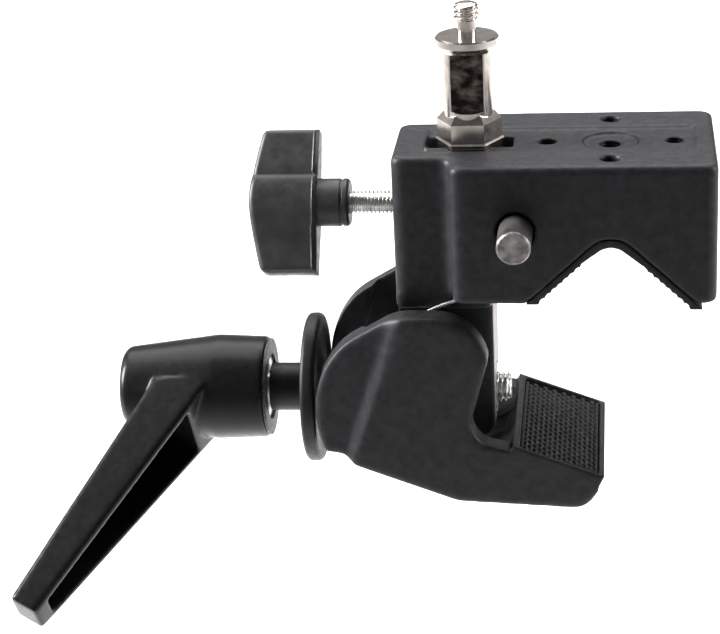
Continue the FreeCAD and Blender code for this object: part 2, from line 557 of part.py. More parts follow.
def lower_jaw_face(y):
    """Side outline of the lower jaw, as a face square to Y."""
    cam_steps = 14
    cam = []
    for step in range(cam_steps + 1):
        cam.append(about_pivot(*cam_point(CAM_HIGH + (CAM_LOW - CAM_HIGH) * step / cam_steps), y))
    heel = Part.BSplineCurve()
    heel.interpolate(cam)
    start = cam_point(CAM_HIGH)
    end = cam_point(CAM_LOW)
    # line on from the cam's upper end, square to its normal, then an arc into the level top
    rise = math.radians(90 - CAM_HIGH)
    crest = (LOBE_RADIUS - start[1]) / math.sin(rise)
    blend = HEEL_BLEND_RADIUS * math.tan(rise / 2)
    knee = (start[0] + crest * math.cos(rise), LOBE_RADIUS)
    arc0 = (knee[0] - blend * math.cos(rise), knee[1] - blend * math.sin(rise))
    arc2 = (knee[0] + blend, LOBE_RADIUS)
    arc1 = (arc2[0] - HEEL_BLEND_RADIUS * math.sin(rise / 2),
            LOBE_RADIUS - HEEL_BLEND_RADIUS * (1 - math.cos(rise / 2)))
    top_arc = Part.Arc(about_pivot(*arc0, y), about_pivot(*arc1, y), about_pivot(*arc2, y))
    lobe_end = math.radians(LOBE_END)
    lobe_mid = (math.pi / 2 + lobe_end) / 2
    lobe_points = [(0, LOBE_RADIUS), (LOBE_RADIUS * math.cos(lobe_mid), LOBE_RADIUS * math.sin(lobe_mid)),
                   (LOBE_RADIUS * math.cos(lobe_end), LOBE_RADIUS * math.sin(lobe_end))]
    lobe = Part.Arc(*[about_pivot(px, pz, y) for px, pz in lobe_points])
    throat = Part.Arc(*[about_pivot(px, pz, y) for px, pz in THROAT])
    near_top = down_pad(-PAD_GAP - NEAR_RAIL, NEAR_RAIL_PROUD)
    near_foot = down_pad(-PAD_GAP - NEAR_RAIL, -RAIL_FOOT)
    far_top = down_pad(PAD_LENGTH + PAD_GAP + FAR_RAIL, 0)
    tip = Part.Arc(*[about_pivot(px, pz, y) for px, pz in TIP])
    belly = [TIP[2], *BELLY, end]
    edges = [heel.toShape()]
    edges.append(Part.makeLine(about_pivot(*start, y), about_pivot(*arc0, y)))
    edges.append(top_arc.toShape())
    edges.append(Part.makeLine(about_pivot(*arc2, y), about_pivot(0, LOBE_RADIUS, y)))
    edges.append(lobe.toShape())
    edges.append(Part.makeLine(about_pivot(*lobe_points[2], y), about_pivot(*THROAT[0], y)))
    edges.append(throat.toShape())
    corners = [THROAT[2], near_foot, near_top, far_top, TIP[0]]
    for a, b in zip(corners[:-1], corners[1:]):
        edges.append(Part.makeLine(about_pivot(*a, y), about_pivot(*b, y)))
    edges.append(tip.toShape())
    for a, b in zip(belly[:-1], belly[1:]):
        edges.append(Part.makeLine(about_pivot(*a, y), about_pivot(*b, y)))
    return Part.Face(Part.Wire(Part.sortEdges(edges)[0]))


def band_block(near, far, y_near, y_far):
    """Solid beyond the ramp line, for one side of the jaw; its ramp runs from near to far."""
    angle = math.radians(BAND_ANGLE)
    out = vec(math.cos(angle), 0, math.sin(angle))
    side = vec(-math.sin(angle), 0, math.cos(angle))
    pivot = vec(PIVOT_X, 0, PIVOT_Z)
    beyond = 80.0
    corners = [(near, y_near), (far, y_far), (beyond, y_far), (beyond, y_near)]
    points = [pivot + out * reach + vec(0, y, 0) + side * -beyond for reach, y in corners]
    return face_of(points).extrude(side * (2 * beyond))


def slot_prism(half_width):
    """Space between the cheeks, open at the heel and below, ending at the pad's near rail."""
    beyond = 80.0
    top = down_pad(-PAD_GAP - NEAR_RAIL, beyond / 2)
    foot = down_pad(-PAD_GAP - NEAR_RAIL, -beyond)
    outline = [top, (-beyond, beyond), (-beyond, -beyond), foot]
    points = [(PIVOT_X + x, PIVOT_Z + z) for x, z in outline]
    return prism_xz(points, -half_width, half_width)


def pad_prism(along0, along1, above0, above1, half_width):
    corners = [down_pad(along0, above0), down_pad(along1, above0), down_pad(along1, above1),
               down_pad(along0, above1)]
    return prism_xz([(PIVOT_X + x, PIVOT_Z + z) for x, z in corners], -half_width, half_width)


def lower_jaw():
    jaw = lower_jaw_face(-HALF).extrude(vec(0, BODY_DEPTH, 0))
    # cheeks: the slot is narrower at the heels, which the thrust disc pushes
    narrow = slot_prism(CHEEK_INNER - HEEL_INNER_STEP)
    wide = slot_prism(CHEEK_INNER)
    for side in (-1, 1):
        wide = wide.cut(band_block(INNER_STEP_REACH, INNER_STEP_REACH + HEEL_INNER_STEP,
                                   side * HALF, side * (CHEEK_INNER - HEEL_INNER_STEP)))
    jaw = jaw.cut(wide.fuse(narrow).cut(throat_web()))
    for side in (-1, 1):
        ramp = band_block(BAND_NEAR, BAND_FAR, side * HALF, side * (HALF - HEEL_SETBACK))
        jaw = jaw.cut(ramp)
    above = 10.0
    jaw = jaw.cut(pad_prism(-PAD_GAP, PAD_LENGTH + PAD_GAP, -TRAY_DEPTH, above, HALF - SIDE_RAIL))
    return jaw.cut(rod_y(PIVOT_RADIUS + RUNNING, PIVOT_FRONT, HALF + 1, PIVOT_X, PIVOT_Z))


def throat_web():
    """Web between the cheeks, from the belly up to the sweep of the tongue's lower corner.

    A groove along its middle lets the end of the clamping screw through.
    """
    right = TONGUE_RIGHT - PIVOT_X
    sweep = math.hypot(right, PIVOT_Z - TONGUE_BOTTOM) + WEB_CLEARANCE
    x0, x1 = PIVOT_X + WEB_START, PIVOT_X + TIP[0][0]
    z0, z1 = PIVOT_Z + BELLY[0][1] * 2, PIVOT_Z
    groove = SCREW_RADIUS + WEB_CLEARANCE
    slab = box(x0, x1, -HALF, HALF, z0, z1)
    slab = slab.cut(box(x0 - 1, x1 + 1, -groove, groove, z0 - 1, z1 + 1))
    return slab.cut(rod_y(sweep, -HALF, HALF, PIVOT_X, PIVOT_Z))


def jaw_pad():
    return pad_prism(0, PAD_LENGTH, -TRAY_DEPTH, PAD_CREST, HALF - SIDE_RAIL - PAD_GAP)


def pivot_pin():
    return rod_y(PIVOT_RADIUS, PIVOT_FRONT + APART, HALF - PIVOT_REAR_INSET, PIVOT_X, PIVOT_Z)


def pivot_spacer():
    """Ring that fills the gap between the tongue and the rear cheek."""
    y0 = TONGUE_DEPTH / 2
    y1 = CHEEK_INNER - APART
    ring = rod_y(PIVOT_RADIUS + SPACER_WALL, y0, y1, PIVOT_X, PIVOT_Z)
    return ring.cut(rod_y(PIVOT_RADIUS + FIXED, y0 - 1, y1 + 1, PIVOT_X, PIVOT_Z))


def jaw_return_spring():
    """Torsion spring on the pivot pin: as many whole turns as fit beside the tongue."""
    y1 = -TONGUE_DEPTH / 2 - APART
    room = CHEEK_INNER - TONGUE_DEPTH / 2 - 2 * APART
    y0 = y1 - SPRING_WIRE * math.floor(room / SPRING_WIRE)
    inner = PIVOT_RADIUS + SPRING_CLEARANCE
    coil = rod_y(inner + SPRING_WIRE, y0, y1, PIVOT_X, PIVOT_Z)
    return coil.cut(rod_y(inner, y0 - 1, y1 + 1, PIVOT_X, PIVOT_Z))


# ---- clamping screw and thrust disc -------------------------------------------------------
def clamp_screw():
    rod = rod_x(SCREW_RADIUS, SCREW_LEFT, SCREW_RIGHT, 0, SCREW_Z)
    return rod.makeChamfer(SCREW_CHAMFER, end_edges(rod, SCREW_RIGHT))


def threaded_bush():
    bush = rod_x(BUSH_RADIUS, NECK_LEFT, TONGUE_RIGHT, 0, SCREW_Z)
    return bush.cut(rod_x(SCREW_RADIUS + RUNNING, NECK_LEFT - 1, TONGUE_RIGHT + 1, 0, SCREW_Z))


def thrust_disc():
    bore = SCREW_RADIUS + RUNNING
    rim = DISC_RADIUS - DISC_CHAMFER
    return turned_x([(DISC_LEFT, bore), (DISC_LEFT, rim), (DISC_LEFT + DISC_CHAMFER, DISC_RADIUS),
                     (DISC_RIGHT - DISC_CHAMFER, DISC_RADIUS), (DISC_RIGHT, rim),
                     (DISC_RIGHT, bore)], SCREW_Z)


def disc_retaining_ring():
    x0 = DISC_RIGHT + APART / 3
    ring = rod_x(RING_RADIUS, x0, x0 + RING_THICKNESS, 0, SCREW_Z)
    return ring.cut(rod_x(SCREW_RADIUS + FIXED, x0 - 1, x0 + RING_THICKNESS + 1, 0, SCREW_Z))


def spacer_sleeve():
    bore = SCREW_RADIUS + FIXED
    return turned_x([(SLEEVE_LEFT, bore), (SLEEVE_LEFT, SLEEVE_RADIUS),
                     (SLEEVE_RIGHT - SLEEVE_CHAMFER, SLEEVE_RADIUS),
                     (SLEEVE_RIGHT, SLEEVE_RADIUS - SLEEVE_CHAMFER), (SLEEVE_RIGHT, bore)], SCREW_Z)


def toothed_face(root, tip, x):
    """Star outline with TEETH teeth in a plane square to X."""
    points = []
    step = 2 * math.pi / TEETH
    for tooth in range(TEETH):
        for share, radius in zip(TOOTH_FLANKS, (root, tip, tip, root)):
            angle = (tooth + share) * step
            points.append(vec(x, radius * math.cos(angle), SCREW_Z + radius * math.sin(angle)))
    return face_of(points)


def ratchet_insert():
    """Toothed insert fixed on the screw, with the core that the lever slides on."""
    teeth = toothed_face(TEETH_ROOT_RADIUS, TEETH_TIP_RADIUS, TEETH_LEFT).extrude(vec(TEETH_LENGTH, 0, 0))
    core = rod_x(CORE_RADIUS, WEB_LEFT - LEVER_LIFT - 1, TEETH_LEFT + 1, 0, SCREW_Z)
    body = teeth.fuse(core)
    body = body.cut(rod_x(SCREW_RADIUS + FIXED, SCREW_LEFT, TEETH_RIGHT + 1, 0, SCREW_Z))
    return body.cut(rod_x(LEVER_SCREW_SHANK + FIXED, HUB_LEFT, SCREW_LEFT + 1, 0, SCREW_Z))


def lever_toothed_bush():
    """Metal bush moulded into the lever, with internal teeth and a flange at the open end."""
    left = HUB_RIGHT - TEETH_BUSH_LENGTH
    wide = TEETH_TIP_RADIUS + TEETH_GAP
    bush = rod_x(TEETH_BUSH_RADIUS, left, TEETH_RIGHT, 0, SCREW_Z)
    bush = bush.fuse(rod_x(HUB_RADIUS - FLANGE_INSET, TEETH_RIGHT, HUB_RIGHT - APART / 3, 0, SCREW_Z))
    bore = rod_x(wide, left - 1, TEETH_LEFT - TEETH_GAP, 0, SCREW_Z)
    mouth = rod_x(wide, TEETH_RIGHT - TEETH_GAP, HUB_RIGHT + 1, 0, SCREW_Z)
    teeth = toothed_face(TEETH_ROOT_RADIUS + TEETH_GAP, wide, left - 1)
    return bush.cut([bore, mouth, teeth.extrude(vec(TEETH_BUSH_LENGTH + 2, 0, 0))])


# ---- lever --------------------------------------------------------------------------------
def arm_section(along, width, thickness):
    """Rectangle square to the arm, before the lever is turned about the screw."""
    slant = math.radians(LEVER_SLANT)
    centre = vec(ARM_X - along * math.sin(slant), 0, -along * math.cos(slant))
    face = vec(math.cos(slant), 0, -math.sin(slant))
    half_t = thickness / 2
    half_w = width / 2
    corners = [(-half_t, -half_w), (half_t, -half_w), (half_t, half_w), (-half_t, half_w)]
    return [centre + face * t + vec(0, w, 0) for t, w in corners]


def arm_taper(along0, along1, trim_width, trim_thickness):
    """Tapered bar between two places along the arm."""
    wires = []
    for along in (along0, along1):
        share = along / ARM_LENGTH
        width = ARM_ROOT_WIDTH + (ARM_TIP_WIDTH - ARM_ROOT_WIDTH) * share - trim_width
        thickness = ARM_ROOT_THICKNESS + (ARM_TIP_THICKNESS - ARM_ROOT_THICKNESS) * share - trim_thickness
        section = arm_section(along, width, thickness)
        wires.append(Part.makePolygon(section + [section[0]]))
    return Part.makeLoft(wires, True, True)


def lever_handle():
    """Tapered hub with one slanted, hollow-backed arm."""
    hub = turned_x([(HUB_LEFT, 0), (HUB_LEFT, HUB_TIP_RADIUS - HUB_EDGE),
                    (HUB_LEFT + HUB_EDGE, HUB_TIP_RADIUS), (HUB_RIGHT - HUB_BELLY_AT, HUB_BELLY_RADIUS),
                    (TEETH_RIGHT - HUB_MOUTH_CHAMFER, HUB_RADIUS),
                    (TEETH_RIGHT, HUB_RADIUS - HUB_MOUTH_CHAMFER), (TEETH_RIGHT, 0)], 0)
    arm = arm_taper(0, ARM_LENGTH, 0, 0)
    long_edges = [e for e in arm.Edges if e.Length > ARM_LENGTH * 0.9]
    arm = arm.makeFillet(ARM_EDGE, long_edges)
    reach = ARM_LENGTH
    arm = arm.cut(box(ARM_X - reach, ARM_X + reach, -reach, reach, -ARM_TOP_DROP, reach))
    pocket = arm_taper(POCKET_START, ARM_LENGTH - POCKET_END, 2 * ARM_WALL, 0)
    slant = math.radians(LEVER_SLANT)
    pocket.translate(vec(math.cos(slant), 0, -math.sin(slant)) * ARM_WALL)
    arm = arm.cut(pocket)
    lever = hub.fuse(arm)
    bore = rod_x(HUB_BORE_RADIUS, HUB_LEFT - 1, WEB_LEFT, 0, 0)
    web_bore = rod_x(CORE_RADIUS + RUNNING, WEB_LEFT - 1, HUB_RIGHT, 0, 0)
    bush_seat = rod_x(TEETH_BUSH_RADIUS + FIXED, HUB_RIGHT - TEETH_BUSH_LENGTH, HUB_RIGHT + 1, 0, 0)
    inner = rod_x(TEETH_TIP_RADIUS + APART, WEB_LEFT + HUB_WEB, HUB_RIGHT, 0, 0)
    lever = lever.cut([bore, web_bore, bush_seat, inner])
    lever.rotate(vec(0, 0, 0), X_AXIS, LEVER_TURN)
    lever.translate(vec(0, 0, SCREW_Z))
    return lever


def lever_spring():
    outer = HUB_BORE_RADIUS - LEVER_SPRING_CLEARANCE
    coil = rod_x(outer, LEVER_WASHER_RIGHT, WEB_LEFT, 0, SCREW_Z)
    return coil.cut(rod_x(outer - LEVER_SPRING_WIRE, LEVER_WASHER_RIGHT - 1, WEB_LEFT + 1, 0, SCREW_Z))


def lever_spring_washer():
    bore = LEVER_SCREW_SHANK + FIXED
    washer = rod_x(HUB_BORE_RADIUS - APART, SCREW_HEAD_RIGHT, LEVER_WASHER_RIGHT, 0, SCREW_Z)
    return washer.cut(rod_x(bore, SCREW_HEAD_RIGHT - 1, LEVER_WASHER_RIGHT + 1, 0, SCREW_Z))


def lever_retaining_screw():
    """Socket-head screw in the insert's core; its head and washer keep the lever on."""
    head_left = SCREW_HEAD_RIGHT - LEVER_SCREW_HEAD_LENGTH
    head = rod_x(LEVER_SCREW_HEAD, head_left, SCREW_HEAD_RIGHT, 0, SCREW_Z)
    head = head.makeChamfer(LEVER_SCREW_CHAMFER, end_edges(head, head_left))
    shank = rod_x(LEVER_SCREW_SHANK, SCREW_HEAD_RIGHT, SCREW_LEFT - LEVER_SCREW_END, 0, SCREW_Z)
    corner = LEVER_SOCKET / 2
    steps = [math.radians(60 * i) for i in range(6)]
    points = [vec(head_left, corner * math.cos(a), SCREW_Z + corner * math.sin(a)) for a in steps]
    socket = face_of(points).extrude(vec(LEVER_SOCKET_DEPTH, 0, 0))
    return head.fuse(shank).cut(socket)


def main():
    pieces = [upper_jaw, v_jaw_liner, spigot_stud, stud_clamp_shoe, lock_pin, lock_pin_spring, retainer_pin,
              knob_screw, wing_knob, lower_jaw, jaw_pad, pivot_pin, pivot_spacer, jaw_return_spring,
              clamp_screw, threaded_bush, thrust_disc, disc_retaining_ring, spacer_sleeve, ratchet_insert,
              lever_toothed_bush, lever_handle, lever_spring, lever_spring_washer, lever_retaining_screw]
    for piece in pieces:
        save(piece.__name__, piece())


main()
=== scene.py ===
import bpy
import bmesh
import json
import math
import numpy as np
from mathutils import Matrix, Vector


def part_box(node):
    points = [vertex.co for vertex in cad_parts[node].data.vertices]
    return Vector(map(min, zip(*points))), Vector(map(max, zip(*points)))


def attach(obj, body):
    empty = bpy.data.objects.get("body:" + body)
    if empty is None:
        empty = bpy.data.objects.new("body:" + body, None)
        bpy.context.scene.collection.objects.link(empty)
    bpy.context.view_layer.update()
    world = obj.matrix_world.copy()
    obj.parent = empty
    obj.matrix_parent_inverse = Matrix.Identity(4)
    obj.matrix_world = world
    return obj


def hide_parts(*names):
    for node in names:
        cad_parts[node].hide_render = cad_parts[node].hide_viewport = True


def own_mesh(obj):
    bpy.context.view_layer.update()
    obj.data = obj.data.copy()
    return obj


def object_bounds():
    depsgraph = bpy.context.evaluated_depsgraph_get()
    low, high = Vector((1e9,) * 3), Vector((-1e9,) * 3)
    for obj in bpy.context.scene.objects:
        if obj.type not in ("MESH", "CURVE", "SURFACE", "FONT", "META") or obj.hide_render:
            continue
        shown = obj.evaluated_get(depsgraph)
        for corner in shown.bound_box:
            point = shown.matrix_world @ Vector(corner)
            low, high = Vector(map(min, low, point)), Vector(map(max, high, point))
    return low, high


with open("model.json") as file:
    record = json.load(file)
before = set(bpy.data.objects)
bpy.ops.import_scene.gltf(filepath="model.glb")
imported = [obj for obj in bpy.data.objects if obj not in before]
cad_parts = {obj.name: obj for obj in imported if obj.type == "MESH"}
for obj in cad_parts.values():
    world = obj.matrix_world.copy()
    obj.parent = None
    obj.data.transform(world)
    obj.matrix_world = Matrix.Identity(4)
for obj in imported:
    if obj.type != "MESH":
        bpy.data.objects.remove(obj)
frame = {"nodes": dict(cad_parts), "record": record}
CAD_BOX = [list(corner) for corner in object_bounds()]
NODES = frame["nodes"]

# Sizes are in millimetres and turned into metres where a mesh is made.
MM = 0.001


def low(node):
    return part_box(node)[0] / MM


def high(node):
    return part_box(node)[1] / MM


# ---- places worked out from the frame ------------------------------------------------------
BLOCK_HEIGHT = 36.0
HOLE_X = 15.875             # tapped side holes, each way from the middle
TOP = high("upper_jaw").z
UNDERSIDE = TOP - BLOCK_HEIGHT
STUD_X = (low("spigot_stud").x + high("spigot_stud").x) / 2
SIDE_Z = (low("lock_pin").z + high("lock_pin").z) / 2
PIVOT = Vector(((low("pivot_pin").x + high("pivot_pin").x) / 2, 0,
                (low("pivot_pin").z + high("pivot_pin").z) / 2))
SCREW_Z = (low("clamp_screw").z + high("clamp_screw").z) / 2


# ---- mesh helpers --------------------------------------------------------------------------
def add_object(name, mesh, body, replaced, material):
    obj = bpy.data.objects.new(name, mesh)
    bpy.context.scene.collection.objects.link(obj)
    obj.data.materials.clear()
    obj.data.materials.append(material)
    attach(obj, body)
    if replaced:
        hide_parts(*replaced)
    return obj


def mesh_of(name, points, faces, sharp=None):
    """Mesh from points in millimetres; sharp is the angle in degrees over which edges stay crisp."""
    mesh = bpy.data.meshes.new(name)
    mesh.from_pydata([Vector(p) * MM for p in points], [], faces)
    bm = bmesh.new()
    bm.from_mesh(mesh)
    bmesh.ops.remove_doubles(bm, verts=bm.verts, dist=1e-7)
    bmesh.ops.recalc_face_normals(bm, faces=bm.faces)
    bm.to_mesh(mesh)
    bm.free()
    mesh.shade_smooth()
    if sharp:
        mesh.set_sharp_from_angle(angle=math.radians(sharp))
    return mesh


def grid_faces(rows, columns, closed_round=True):
    """Quads of a grid of points laid row by row; closed_round joins the last column to the first."""
    faces = []
    last = columns if closed_round else columns - 1
    for r in range(rows - 1):
        for c in range(last):
            d = (c + 1) % columns
            faces.append((r * columns + c, r * columns + d, (r + 1) * columns + d, (r + 1) * columns + c))
    return faces


def grid_rim(rows, columns):
    """Points round the edge of an open grid, in order."""
    rim = list(range(columns)) + [r * columns + columns - 1 for r in range(1, rows)]
    rim += [(rows - 1) * columns + c for c in range(columns - 2, -1, -1)]
    return rim + [r * columns for r in range(rows - 2, 0, -1)]


def turned(name, stations, columns, radius, place, sharp):
    """Closed solid round an axis: radius(station, angle), put into space by place(station, r, angle)."""
    points = []
    for s in stations:
        for c in range(columns):
            angle = 2 * math.pi * c / columns
            points.append(place(s, radius(s, angle), angle))
    faces = grid_faces(len(stations), columns)
    for row, station in ((0, stations[0]), (len(stations) - 1, stations[-1])):
        centre = len(points)
        points.append(place(station, 0.0, 0.0))
        ring = [row * columns + c for c in range(columns)]
        faces += [(centre, ring[c], ring[(c + 1) % columns]) for c in range(columns)]
    return mesh_of(name, points, faces, sharp)


def along_x(z):
    return lambda s, r, a: (s, r * math.cos(a), z + r * math.sin(a))


def between(profile, s):
    """Value at s of a line through (station, value) points."""
    for (s0, v0), (s1, v1) in zip(profile[:-1], profile[1:]):
        if s <= s1:
            return v0 + (v1 - v0) * (s - s0) / max(s1 - s0, 1e-6)
    return profile[-1][1]


def thread_cut(s, angle, pitch, depth, turn=1):
    """How far a screw thread's surface lies below its crest, with flat crests and roots."""
    phase = (s / pitch - turn * angle / (2 * math.pi)) % 1.0
    slope = abs(2 * phase - 1)
    return depth * min(1.0, max(0.0, (slope - 0.18) / 0.64))


def spaced(start, end, step):
    count = max(1, round(abs(end - start) / step))
    return [start + (end - start) * i / count for i in range(count + 1)]


def tube(name, path, radius, columns=12):
    """Round wire along a list of points."""
    points = []
    count = len(path)
    side = None
    for i, p in enumerate(path):
        ahead = (path[min(i + 1, count - 1)] - path[max(i - 1, 0)]).normalized()
        if side is None:
            side = ahead.orthogonal().normalized()
        side = (side - ahead * side.dot(ahead)).normalized()
        up = ahead.cross(side)
        for c in range(columns):
            a = 2 * math.pi * c / columns
            points.append(p + (side * math.cos(a) + up * math.sin(a)) * radius)
    faces = grid_faces(count, columns)
    faces.append(tuple(range(columns)))
    faces.append(tuple((count - 1) * columns + c for c in range(columns)))
    return mesh_of(name, points, faces, 50)


def relax(mesh, rounds, weight):
    """Moves points towards their neighbours' average; weight is 0 to 1 for each point."""
    count = len(mesh.vertices)
    places = np.empty(count * 3)
    mesh.vertices.foreach_get("co", places)
    places = places.reshape(-1, 3)
    ends = np.empty(len(mesh.edges) * 2, dtype=np.int64)
    mesh.edges.foreach_get("vertices", ends)
    a, b = ends[0::2], ends[1::2]
    degree = np.bincount(ends, minlength=count)[:, None]
    pull = weight(places / MM)[:, None] * 0.5
    for _ in range(rounds):
        total = np.empty_like(places)
        for k in range(3):
            total[:, k] = np.bincount(a, weights=places[b, k], minlength=count)
            total[:, k] += np.bincount(b, weights=places[a, k], minlength=count)
        places += (total / degree - places) * pull
    mesh.vertices.foreach_set("co", places.ravel())


def everywhere(places):
    return np.full(len(places), 1.0)


def evaluated(mesh, kind, **settings):
    """Mesh after one modifier."""
    scratch = bpy.data.objects.new("scratch", mesh)
    bpy.context.scene.collection.objects.link(scratch)
    modifier = scratch.modifiers.new("change", kind)
    for key, value in settings.items():
        setattr(modifier, key, value)
    graph = bpy.context.evaluated_depsgraph_get()
    done = bpy.data.meshes.new_from_object(scratch.evaluated_get(graph))
    bpy.data.objects.remove(scratch)
    return done


def cast_copy(name, node, voxel, rounds, weight, keep, extra=()):
    """Copy of a CAD node with softened edges: remeshed, relaxed by weight and thinned out again."""
    mesh = NODES[node].data.copy()
    bm = bmesh.new()
    bm.from_mesh(mesh)
    bmesh.ops.remove_doubles(bm, verts=bm.verts, dist=1e-6)
    bm.to_mesh(mesh)
    bm.free()
    mesh = evaluated(mesh, "REMESH", mode="VOXEL", voxel_size=voxel * MM)
    relax(mesh, rounds, weight)
    relax(mesh, 4, everywhere)
    done = evaluated(mesh, "DECIMATE", ratio=keep)
    done.name = name
    bm = bmesh.new()
    bm.from_mesh(done)
    for more in extra:
        bm.from_mesh(more)
    bm.to_mesh(done)
    bm.free()
    done.shade_smooth()
    return done


def fade(values, start, end):
    """0 before start, 1 after end, smooth between."""
    share = np.clip((values - start) / (end - start), 0.0, 1.0)
    return share * share * (3 - 2 * share)


# ---- material helpers ----------------------------------------------------------------------
class Look:
    """One procedural material: noise-driven colour, roughness and relief on a Principled shader."""

    def __init__(self, name, metallic, specular):
        self.material = bpy.data.materials.new(name)
        self.material.use_nodes = True
        self.tree = self.material.node_tree
        self.shader = self.tree.nodes["Principled BSDF"]
        self.shader.inputs["Metallic"].default_value = metallic
        self.shader.inputs["Specular IOR Level"].default_value = specular
        self.coords = self.tree.nodes.new("ShaderNodeTexCoord").outputs["Object"]
        self.normal = None

    def node(self, kind, **values):
        made = self.tree.nodes.new(kind)
        for key, value in values.items():
            setattr(made, key, value)
        return made

    def link(self, source, target):
        self.tree.links.new(source, target)

    def stretched(self, scale):
        mapping = self.node("ShaderNodeMapping")
        mapping.inputs["Scale"].default_value = scale
        self.link(self.coords, mapping.inputs["Vector"])
        return mapping.outputs["Vector"]

    def noise(self, size, detail=3.0, coords=None):
        """Noise whose patches are about size millimetres wide."""
        made = self.node("ShaderNodeTexNoise")
        made.inputs["Scale"].default_value = 1.0 / (size * MM)
        made.inputs["Detail"].default_value = detail
        self.link(coords or self.coords, made.inputs["Vector"])
        return made.outputs["Fac"]

    def spread(self, value, start, end, to_start, to_end):
        made = self.node("ShaderNodeMapRange")
        for key, number in (("From Min", start), ("From Max", end), ("To Min", to_start), ("To Max", to_end)):
            made.inputs[key].default_value = number
        self.link(value, made.inputs["Value"])
        return made.outputs["Result"]

    def colours(self, value, dark, light, start=0.35, end=0.65):
        ramp = self.node("ShaderNodeValToRGB")
        ramp.color_ramp.elements[0].position = start
        ramp.color_ramp.elements[0].color = (*dark, 1)
        ramp.color_ramp.elements[1].position = end
        ramp.color_ramp.elements[1].color = (*light, 1)
        self.link(value, ramp.inputs["Fac"])
        self.link(ramp.outputs["Color"], self.shader.inputs["Base Color"])

    def roughness(self, value, smooth, rough):
        self.link(self.spread(value, 0.3, 0.7, smooth, rough), self.shader.inputs["Roughness"])

    def soft_edges(self, radius):
        made = self.node("ShaderNodeBevel", samples=6)
        made.inputs["Radius"].default_value = radius * MM
        self.normal = made.outputs["Normal"]

    def relief(self, value, height, strength=1.0):
        made = self.node("ShaderNodeBump")
        made.inputs["Distance"].default_value = height * MM
        made.inputs["Strength"].default_value = strength
        self.link(value, made.inputs["Height"])
        if self.normal:
            self.link(self.normal, made.inputs["Normal"])
        self.normal = made.outputs["Normal"]

    def done(self):
        if self.normal:
            self.link(self.normal, self.shader.inputs["Normal"])
        return self.material


def powder_coat(name, dark, light, grain, height, smooth, rough, specular):
    look = Look(name, 0.0, specular)
    look.colours(look.noise(2.2, 6), dark, light)
    look.roughness(look.noise(1.6, 4), smooth, rough)
    look.relief(look.noise(grain, 2), height)
    look.relief(look.noise(grain * 4, 2), height * 3.0, 0.7)
    return look.done()


def plated(name, dark, light, smooth, rough, brush, height, edge):
    """Metal with fine machining lines; brush stretches the grain along X, Y and Z."""
    look = Look(name, 1.0, 0.5)
    if edge:
        look.soft_edges(edge)
    grain = look.noise(0.5, 4, look.stretched(brush))
    look.colours(look.noise(2.5, 5), dark, light)
    look.roughness(grain, smooth, rough)
    look.relief(grain, height)
    return look.done()


def moulded(name, dark, light, smooth, rough, grain, height, specular, edge):
    look = Look(name, 0.0, specular)
    if edge:
        look.soft_edges(edge)
    look.colours(look.noise(6.0, 4), dark, light)
    look.roughness(look.noise(1.5, 3), smooth, rough)
    look.relief(look.noise(grain, 2), height)
    return look.done()


def sintered(name):
    look = Look(name, 0.25, 0.25)
    cells = look.node("ShaderNodeTexVoronoi")
    cells.inputs["Scale"].default_value = 1.0 / (0.45 * MM)
    look.link(look.coords, cells.inputs["Vector"])
    look.colours(cells.outputs["Distance"], (0.006, 0.005, 0.005), (0.10, 0.085, 0.075), 0.3, 0.85)
    look.roughness(look.noise(0.6, 4), 0.35, 0.6)
    look.relief(cells.outputs["Distance"], 0.06)
    return look.done()


def dark_reflection_flats():
    """Scratched flats left by a cutter, painted near-black: the dark colour is a painted reflection of dark
    surroundings, not the plating's own tone.
    """
    look = Look("flat_with_painted_dark_reflection", 1.0, 0.5)
    scratches_and_painted_reflection = look.noise(4.0, 7, look.stretched((1.0, 1.0, 1.8)))
    # near-black base colour is a painted dark reflection; the streaks are the cutter's scratches
    look.colours(scratches_and_painted_reflection, (0.012, 0.010, 0.009), (0.16, 0.13, 0.115), 0.42, 0.78)
    look.roughness(look.noise(2.0, 5), 0.25, 0.5)
    look.relief(look.noise(4.5, 5, look.stretched((1.0, 1.0, 1.5))), 0.5)
    return look.done()


